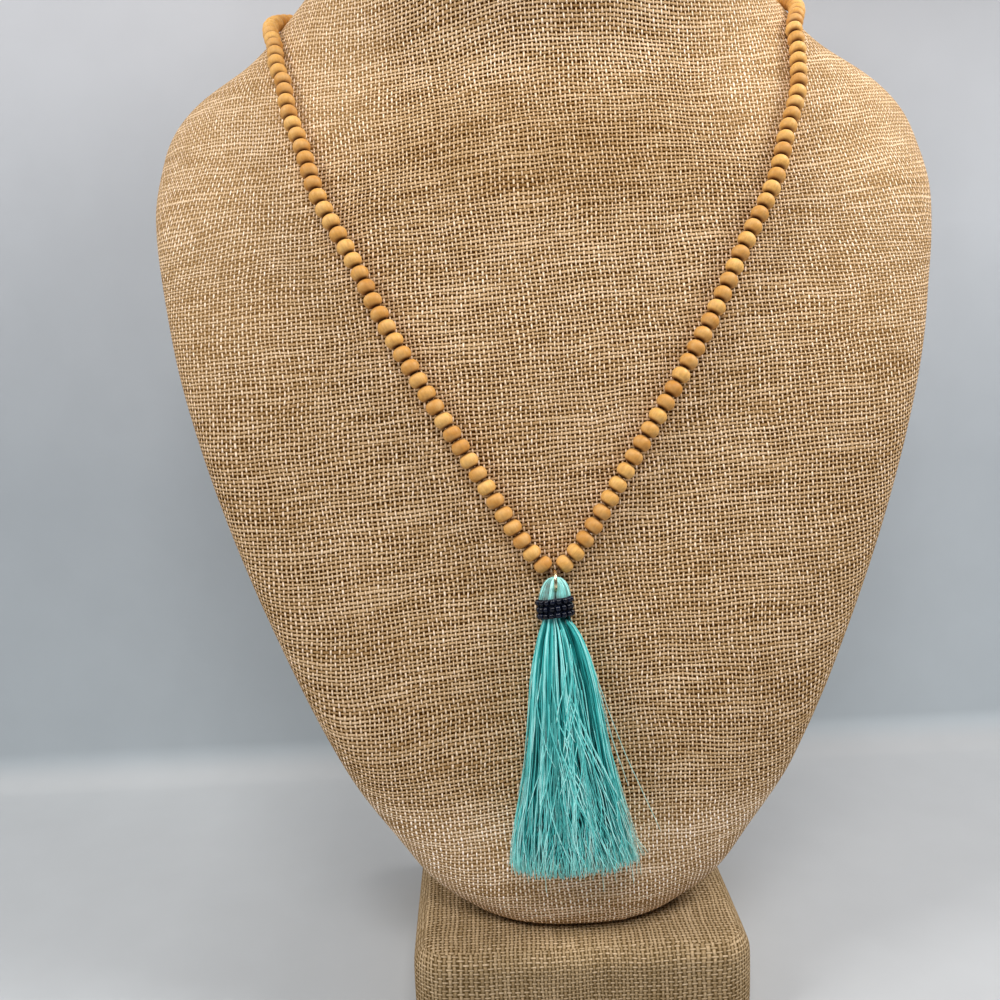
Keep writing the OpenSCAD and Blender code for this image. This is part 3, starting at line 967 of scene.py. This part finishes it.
LAYERS = {
    "tassel_threads_inner": dict(
        count=460, steps=14, depths=(0.70, 0.86), clumps=46,
        gather=0.3, sway=0.06, wander=0.03, cross=0.05, lean=0.0, ends=0.02,
    ),
    "tassel_threads_outer": dict(
        count=760, steps=28, depths=(0.86, 0.98), clumps=62,
        gather=0.5, sway=0.075, wander=0.055, cross=0.08, lean=0.02, ends=0.016,
    ),
    "tassel_threads_loose": dict(
        count=190, steps=24, depths=(0.98, 1.05), clumps=150,
        gather=0.0, sway=0.07, wander=0.04, cross=0.2, lean=0.14, ends=0.016, starts=(0.06, 0.72),
    ),
}


def make_tassel():
    skirt = Skirt()
    rng = np.random.default_rng(5)
    shown = silk("tassel silk")
    # Inner threads drawn at a fifth of the brightness: painted shade.
    shaded_inner = silk("tassel silk inside", (0.0, 0.0), shade_scale=0.2)
    # Lighter copy for the loose and crossing threads on top: painted light.
    lit_loose = silk("tassel silk loose", (0.05, 0.0), pale=0.08)
    pieces = []
    for (name, form), sides, radius, material in zip(
        LAYERS.items(), (3, 4, 4), (0.3 * MM, 0.17 * MM, 0.15 * MM), (shaded_inner, shown, lit_loose)
    ):
        paths, tones = skirt_strands(skirt, rng, **form)
        # Loose threads on top drawn lighter: painted light.
        if material is lit_loose:
            tones = 0.42 + 0.5 * tones
        taper = 1 - 0.4 * np.linspace(0, 1, form["steps"])[None] ** 6
        radii = radius * rng.uniform(0.7, 1.2, (form["count"], 1)) * taper
        pieces.append(thread_tubes(name, paths, radii, sides, material, tones))
    pieces.append(make_core(skirt))
    # Fold threads start darker near the wrap: painted shade.
    pieces.append(make_head(silk("tassel silk fold", (-0.7, 0.12), pale=0.26)))
    pieces.append(make_crossing(skirt, lit_loose))
    pieces.append(make_strays(skirt))
    for piece in pieces:
        ride_root(piece)
    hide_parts("tassel")


def make_core(skirt):
    """Dark inside of the skirt, seen only between threads: a painted shade sheet standing for the shaded
    threads within.
    """
    sides = 40
    angle = np.linspace(-np.pi, np.pi, sides, endpoint=False)
    rings = []
    for share in np.concatenate(([0.03], np.linspace(0.08, 0.965, 22))):
        rings.append(skirt.place(np.full(sides, share), angle, CORE_DEPTH if share > 0.1 else 0.5 + share))
    material, tree, shader = new_material("tassel inside shade")
    x, y, z = parted(own_place(tree))
    streak = noise(joined(x * 2500.0, y * 2500.0, z * 60.0), 1.0, 1.0)
    # Dark colours for the skirt's inside: painted shade.
    colour = blended(ranged(streak, 0.35, 0.7), (0.004, 0.07, 0.07), (0.02, 0.2, 0.19))
    feed_all(shader.inputs, Base_Color=colour, Roughness=0.7)
    return ring_form("tassel_core", rings, material)


def make_head(material):
    """Threads folded over the ring: two round lobes of threads that rise from the wrap and meet at the top."""
    rng = np.random.default_rng(8)
    low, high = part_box("jump_ring")
    middle = (low + high) / 2
    wrap_low, wrap_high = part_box("seed_bead_wrap")
    neck = (wrap_low + wrap_high) / 2
    neck.z = low.z - LEG_TOP
    rise = low.z + HEAD_TOP - neck.z
    count, steps, clumps = 620, 18, 46
    own = rng.integers(0, clumps, count)
    angle = ((own + rng.normal(0, 0.4, count)) / clumps * TAU)[:, None]
    out = rng.uniform(0.86, 1.0, (count, 1))
    up = np.linspace(0, 1, steps)[None]
    dome = np.sqrt(np.clip(1 - up ** 2.6, 0, 1)) * out
    aside = np.sin(angle) * dome * HEAD_HALF_X + np.sign(np.sin(angle)) * 0.3 * MM * (1 - up) ** 0.5
    aside = aside + smooth_curve(rng, count, steps, 5, 0.7) * 0.06 * MM
    groove = 1 - 0.3 * np.exp(-(aside / (0.9 * MM)) ** 2)
    paths = np.stack((
        neck.x + (middle.x - neck.x) * np.clip(up * 1.5, 0, 1) - 0.15 * MM * (1 - up) + aside,
        middle.y + (neck.y - middle.y) * (1 - up) - np.cos(angle) * dome * groove * HEAD_HALF_Y,
        neck.z + rise * up * (0.9 + 0.1 * out),
    ), -1)
    radii = np.broadcast_to(0.13 * MM * rng.uniform(0.8, 1.3, (count, 1)), (count, steps))
    tones = 0.27 + rng.normal(0, 0.36, clumps)[own] + rng.normal(0, 0.2, count)
    return thread_tubes("tassel_fold", paths, radii, 4, material, np.clip(tones, LOWEST_TONE, HIGHEST_TONE))


CROSSINGS = (
    # share where it starts, angle there, share where it ends, angle there
    (0.34, 0.15, 0.70, 1.1),
    (0.31, 0.0, 0.64, 0.8),
    (0.42, -0.12, 0.5, 0.15),
    (0.36, 0.2, 0.74, 1.2),
)
STRAYS = (
    # side, share where it leaves, angle there, share where it ends, how far out it ends in mm, curve
    (-1, 0.28, 1.45, 0.72, 1.9, 0.8),
    (-1, 0.22, 1.5, 0.62, 1.3, 0.9),
    (-1, 0.38, 1.4, 0.93, 1.2, 1.0),
    (-1, 0.86, 1.3, 0.985, 3.2, 1.1),
    (1, 0.24, 1.45, 0.88, 10.0, 1.2),
    (1, 0.30, 1.4, 0.70, 3.6, 1.0),
    (1, 0.36, 1.4, 0.62, 2.6, 0.9),
    (1, 0.45, 1.4, 0.97, 3.2, 1.2),
    (1, 0.84, 1.3, 0.955, 5.0, 1.0),
    (1, 0.15, 1.5, 0.5, 1.4, 1.0),
)


def make_crossing(skirt, material):
    """Bright threads that run aslant over the skirt's front, drawn lighter as painted light on the threads on
    top.
    """
    rng = np.random.default_rng(23)
    steps = 20
    t = np.linspace(0, 1, steps)
    lines = list(CROSSINGS)
    for _ in range(26):
        leave, angle = rng.uniform(0.15, 0.62), rng.uniform(-1.1, 0.7)
        end = leave + rng.uniform(0.2, 0.38)
        lines.append((leave, angle, end, angle + rng.choice((0.35, 0.5, 0.65, -0.3, -0.45))))
    paths = []
    for leave, angle, end, end_angle in lines:
        aside = angle + (end_angle - angle) * t ** 1.2 + smooth_curve(rng, 1, steps, 5)[0] * 0.025
        paths.append(skirt.place(leave + (end - leave) * t, aside, 0.99 + 0.04 * np.sin(np.pi * t)))
    paths = np.array(paths)
    radii = np.broadcast_to(0.19 * MM * np.sin(np.pi * (0.06 + 0.88 * t)) ** 0.3, paths.shape[:2])
    return thread_tubes("tassel_crossing", paths, radii, 4, material, rng.uniform(0.7, 0.98, len(paths)))


def make_strays(skirt):
    """Loose pale threads that stand off the skirt's sides and ends."""
    rng = np.random.default_rng(21)
    steps = 16
    t = np.linspace(0, 1, steps)
    paths = []
    for side, leave, angle, end, out, curve in STRAYS:
        line = skirt.place(leave + (end - leave) * t, side * angle, 0.95)
        line[:, 0] += side * out * MM * t ** curve
        line += smooth_curve(rng, 1, steps, 4)[0][:, None] * np.array([0.3, 0.15, 0]) * MM * t[:, None]
        paths.append(line)
    for _ in range(20):
        angle = rng.uniform(-1.4, 1.4)
        share = rng.uniform(0.8, 0.93) + (rng.uniform(1.0, 1.012) - 0.86) * t
        paths.append(skirt.place(share, angle + rng.normal(0, 0.12) * t, 0.98))
    for _ in range(11):
        share = rng.uniform(0.70, 0.84) + (rng.uniform(0.97, 1.0) - 0.77) * t
        line = skirt.place(share, rng.uniform(1.05, 1.45), 0.99)
        line[:, 0] += rng.uniform(0.6, 3.2) * MM * t + smooth_curve(rng, 1, steps, 4)[0] * 0.25 * MM * t
        paths.append(line)
    paths = np.array(paths)
    radii = np.broadcast_to(0.15 * MM * (1 - 0.4 * t), paths.shape[:2])
    return thread_tubes("tassel_strays", paths, radii, 3, silk("stray silk", pale=0.65))


# ---- Seed beads ----
SEED_ROUNDS = 3
SEEDS_ROUND = 17
SEED_L = 1.74 * MM
SEED_BORE = 0.6 * MM
WRAP_RAISED = 0.5 * MM
WRAP_TURNS = 12


def glass():
    """Glossy navy glass, a little uneven from bead to bead."""
    material, tree, shader = new_material("seed bead glass")
    haze = noise(attribute(tree, "grain"), 900.0, 1.0)
    colour = blended(attribute(tree, "tint", "Fac"), (0.0025, 0.0035, 0.009), (0.006, 0.009, 0.024))
    roughness = ranged(haze, 0.3, 0.7, 0.07, 0.16)
    feed_all(shader.inputs, Base_Color=colour, Roughness=roughness, Specular_IOR_Level=0.3)
    bump(shader, haze, 0.03 * MM)
    return material


def dull_thread(name, dark, pale, relief):
    """Matt thread with fine fibres."""
    material, fibre, shader = speckled(name, 3000.0, 2.0, dark, pale, 0.8)
    bump(shader, fibre, relief)
    return material


def make_wrap_base(centre, axis, side, front, radius, height):
    """Dark thread wound round the neck under the seed beads."""
    angle = np.linspace(0, TAU, 36, endpoint=False)
    ring = np.cos(angle)[:, None] * side + np.sin(angle)[:, None] * front
    levels = np.linspace(-0.5, 0.5, WRAP_TURNS * 2 + 1)
    reaches = [radius - (0.12 * MM if k % 2 == 0 else 0) for k in range(len(levels))]
    rows = []
    for level, reach in zip((-0.5, *levels, 0.5), (radius * 0.8, *reaches, radius * 0.8)):
        rows.append(centre + ring * reach + axis * height * level)
    material = dull_thread("wrap thread", (0.002, 0.004, 0.014), (0.008, 0.016, 0.04), 0.04 * MM)
    ride_root(ring_form("wrap_thread", rows, material))


def make_wrap():
    """Rounds of seed beads on the tassel's neck, fitted to the CAD band."""
    points = measured("seed_bead_wrap", points_of)
    centre, axis, height = turned_form(points)
    axis = axis * np.sign(axis[2])
    centre += axis * WRAP_RAISED
    seed_d = height / SEED_ROUNDS
    from_axis = points - centre - np.outer((points - centre) @ axis, axis)
    reach = np.linalg.norm(from_axis, axis=1).max() - seed_d / 2
    side = unit(np.cross(axis, (0, 1, 0)))
    front = np.cross(axis, side)
    rng = np.random.default_rng(3)
    places = []
    for turn in range(SEED_ROUNDS):
        start = rng.uniform(0, TAU)
        level = (turn - (SEED_ROUNDS - 1) / 2) * seed_d * 0.985
        for k in range(SEEDS_ROUND):
            angle = start + TAU * (k + rng.uniform(-0.08, 0.08)) / SEEDS_ROUND
            out = side * np.cos(angle) + front * np.sin(angle)
            spot = centre + out * (reach - 0.12 * MM * rng.uniform(0, 1))
            spot = spot + axis * (level + rng.uniform(-0.05, 0.05) * MM)
            places.append((spot, unit(np.cross(axis, out) + axis * rng.uniform(-0.12, 0.12))))
    pattern = bead_pattern("seed pattern", seed_d * 1.03, SEED_L, SEED_BORE, 14, 10)
    make_wrap_base(centre, axis, side, front, reach - 0.3 * seed_d, height * 0.9)
    piece = joined_copies("seed_beads", pattern, places, glass(), 4, 0.06)
    bpy.data.objects.remove(pattern)
    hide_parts("seed_bead_wrap")
    ride_root(piece)


# ---- Ring and string ----
STRING_D = 0.8 * MM
STRING_STEP = 0.45 * MM
RING_ROOM = 0.25 * MM
RING_ARC = np.radians((-40, -20, 0, 20, 40))
PLY_OUT, PLY_RADIUS, PLY_TURN = 0.19 * MM, 0.2 * MM, 2.2 * MM


def make_ring():
    """Pale gold plating on the CAD ring."""
    material, tree, shader = new_material("ring gold")
    wear = noise(own_place(tree), 900.0, 2.0)
    colour = blended(ranged(wear, 0.35, 0.7), (0.78, 0.62, 0.34), (0.9, 0.8, 0.55))
    feed_all(shader.inputs, Base_Color=colour, Roughness=ranged(wear, 0.3, 0.7, 0.16, 0.3), Metallic=1.0)
    bump(shader, wear, 0.02 * MM)
    coat(nodes["jump_ring"], material)


def string_line():
    """Closed line through every bead, and under the top of the ring."""
    low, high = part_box("jump_ring")
    wire = high.x - low.x
    middle = np.array(((low.x + high.x) / 2, (low.y + high.y) / 2, high.z - wire / 2))
    bend = wire / 2 + STRING_D / 2 + RING_ROOM
    arc = [middle + bend * np.array((math.sin(a), 0, -math.cos(a))) for a in RING_ARC]
    chains = []
    for node in STRANDS:
        beads = bead_places(node)
        chain = []
        here = middle
        while beads:
            nearest = min(range(len(beads)), key=lambda k: np.linalg.norm(beads[k][0] - here))
            centre, axis = beads.pop(nearest)
            axis = axis * np.sign(axis @ (centre - here) or 1)
            chain += [centre - axis * BEAD_L / 2, centre, centre + axis * BEAD_L / 2]
            here = centre
        chains.append(chain)
    return np.array(chains[0][::-1] + arc + chains[1])


def make_string():
    """Two-ply dark thread through the beads and the ring."""
    corners = string_line()
    closed = np.concatenate((corners, corners[:1]))
    length = running(np.linalg.norm(np.diff(closed, axis=0), axis=1))
    along = np.linspace(0, length[-1], int(length[-1] / STRING_STEP))
    line = np.stack([np.interp(along, length, closed[:, k]) for k in range(3)], -1)
    for _ in range(2):
        line[1:-1] = (line[:-2] + 2 * line[1:-1] + line[2:]) / 4
    tangent = unit(np.gradient(line, axis=0))
    side = unit(np.cross(tangent, (0, 1, 0)))
    other = np.cross(tangent, side)
    paths = []
    for start in (0.0, np.pi):
        turn = (TAU * along / PLY_TURN + start)[:, None]
        paths.append(line + PLY_OUT * (np.cos(turn) * side + np.sin(turn) * other))
    material = dull_thread("bead thread", (0.10, 0.045, 0.02), (0.26, 0.13, 0.06), 0.05 * MM)
    piece = thread_tubes("bead_string", np.array(paths), np.full((2, len(along)), PLY_RADIUS), 5, material)
    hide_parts("string_thread")
    ride_root(piece)


# ---- Stage and light ----
STAGE_HALF = 3.0
BEND_AT = 0.141
BEND_RADIUS = 0.017
BEND_STEPS = 12
FLOOR_UNDER = -0.002
PAPER_GRAIN = 40.0
LAMP_COLOUR = (1.0, 0.99, 0.97)
LAMPS = (
    # name, place, target, width, height, power
    ("key", (0.0, -0.7, 1.0), (0, 0, 0.25), 0.45, 0.35, 5.7),
    ("left", (-0.88, -0.4, 0.98), (0, 0, 0.2), 0.4, 0.4, 8.7),
    ("right", (0.6, -0.1, 0.75), (0.05, 0, 0.25), 0.3, 0.3, 5.4),
)
SKY_COLOUR = (0.86, 0.9, 0.95, 1)
SKY_POWER = 0.14


def sweep_paper():
    """Pale paper, grey-blue where it rises, with painted light and shade: the wall darker low down, lighter at
    the top and just above the floor, lighter to the right low down and darker at the top right, and the floor
    lighter to the right and at the far left. Its back can't be seen, so that other views pass it.
    """
    material, tree, shader = new_material("sweep paper")
    place = own_place(tree)
    x, _, z = parted(place)
    # Wall darker low down and lighter at the top and near the floor: painted light and shade.
    wall = blended(ranged(z, 0.15, 0.42), (0.415, 0.45, 0.485), (0.545, 0.55, 0.58))
    wall = blended(ranged(z, 0.02, 0.15), (0.46, 0.505, 0.54), wall)
    # Wall lighter to the right low down and darker at the top right: painted light and shade.
    painted_light = ranged(x, -0.15, 0.22, 0.0, 0.14) * ranged(z, 0.27, 0.38, 1.0, -2.0)
    wall = scaled(wall, painted_light + 1.0)
    # Floor lighter to the right and at the far left: painted light.
    ground = blended(ranged(x, -0.15, 0.15), (0.46, 0.475, 0.49), (0.48, 0.49, 0.505))
    ground = scaled(ground, ranged(x, -0.16, -0.1, 1.14, 1.0))
    colour = blended(ranged(z, 0.001, 0.014, smooth=True), ground, wall)
    colour = scaled(colour, ranged(noise(place, PAPER_GRAIN, 3.0), 0.3, 0.7, 0.985, 1.015))
    feed_all(shader.inputs, Base_Color=colour, Roughness=0.9, Specular_IOR_Level=0.2)
    output = next(node for node in tree.nodes if node.type == "OUTPUT_MATERIAL")
    geometry = tree.nodes.new("ShaderNodeNewGeometry")
    clear = tree.nodes.new("ShaderNodeBsdfTransparent")
    choice = tree.nodes.new("ShaderNodeMixShader")
    tree.links.new(geometry.outputs["Backfacing"], choice.inputs[0])
    tree.links.new(shader.outputs[0], choice.inputs[1])
    tree.links.new(clear.outputs[0], choice.inputs[2])
    tree.links.new(choice.outputs[0], output.inputs[0])
    return material


def sheet(name, line, material):
    """Sheet across the stage, over a line of depths and heights."""
    vertices = [(x, y, z) for y, z in line for x in (-STAGE_HALF, STAGE_HALF)]
    faces = [(k, k + 1, k + 3, k + 2) for k in range(0, len(vertices) - 2, 2)]
    mesh = bpy.data.meshes.new(name)
    mesh.from_pydata(vertices, [], faces)
    piece = new_piece(name, mesh)
    coat(piece, material)
    return piece


def make_stage():
    """Pale sweep behind and under the bust, and a floor behind it for the other views."""
    line = [(-2.5, 0.0), (0.11, 0.0)]
    for k in range(BEND_STEPS + 1):
        a = math.radians(k * 90 / BEND_STEPS)
        line.append((BEND_AT + BEND_RADIUS * math.sin(a), BEND_RADIUS * (1 - math.cos(a))))
    line += [(BEND_AT + BEND_RADIUS, 0.6), (BEND_AT + BEND_RADIUS + 0.02, 2.2)]
    sweep = sheet("sweep", line, sweep_paper())
    sweep.data.shade_smooth()
    sweep.visible_shadow = False
    paper, _, _ = speckled("floor paper", PAPER_GRAIN, 3.0, (0.51, 0.53, 0.55), (0.53, 0.55, 0.57), 0.9)
    floor = sheet("floor", ((0, FLOOR_UNDER), (3, FLOOR_UNDER)), paper)


def make_light():
    for name, place, target, width, height, power in LAMPS:
        data = bpy.data.lights.new(name, "AREA")
        data.shape = "RECTANGLE"
        data.size = width
        data.size_y = height
        data.energy = power
        data.color = LAMP_COLOUR
        lamp = link(bpy.data.objects.new(name, data))
        lamp.location = place
        lamp.rotation_mode = "QUATERNION"
        lamp.rotation_quaternion = (Vector(target) - Vector(place)).to_track_quat("-Z", "Y")
    world = bpy.data.worlds.new("studio")
    bpy.context.scene.world = world
    world.use_nodes = True
    background = world.node_tree.nodes["Background"]
    background.inputs[0].default_value = SKY_COLOUR
    background.inputs[1].default_value = SKY_POWER
    view = bpy.context.scene.view_settings
    view.view_transform = "Standard"
    view.look = "None"


make_camera()
make_stage()
make_light()

weave = weave_group()
jute = jute_group()
bust_cloth = burlap(
    "burlap", tints=(0.75, 1.27, 0.52, 1.8), pitch=(1.42 * MM, 1.375 * MM), shear=(2.1, 4.2),
    levels=(0.05, 0.66, 0.4, 1.02), widths=(0.2, 0.315), slub=0.6, bust=True,
)
foot_cloth = burlap(
    "foot burlap", tints=(0.775, 1.12, 0.56, 1.43), pitch=(1.4 * MM, 1.4 * MM), shear=(0.0, 0.0),
    levels=(0.11, 0.45, 0.37, 0.61), widths=(0.23, 0.36), slub=0.5,
)
dress_form("bust_form", "burlap_bust", 0.26, 0.39, bust_cloth, fitted=True)
dress_form("bust_foot", "burlap_foot", 0.001, 0.02, foot_cloth)
make_beads()
make_tassel()
make_wrap()
make_ring()
make_string()
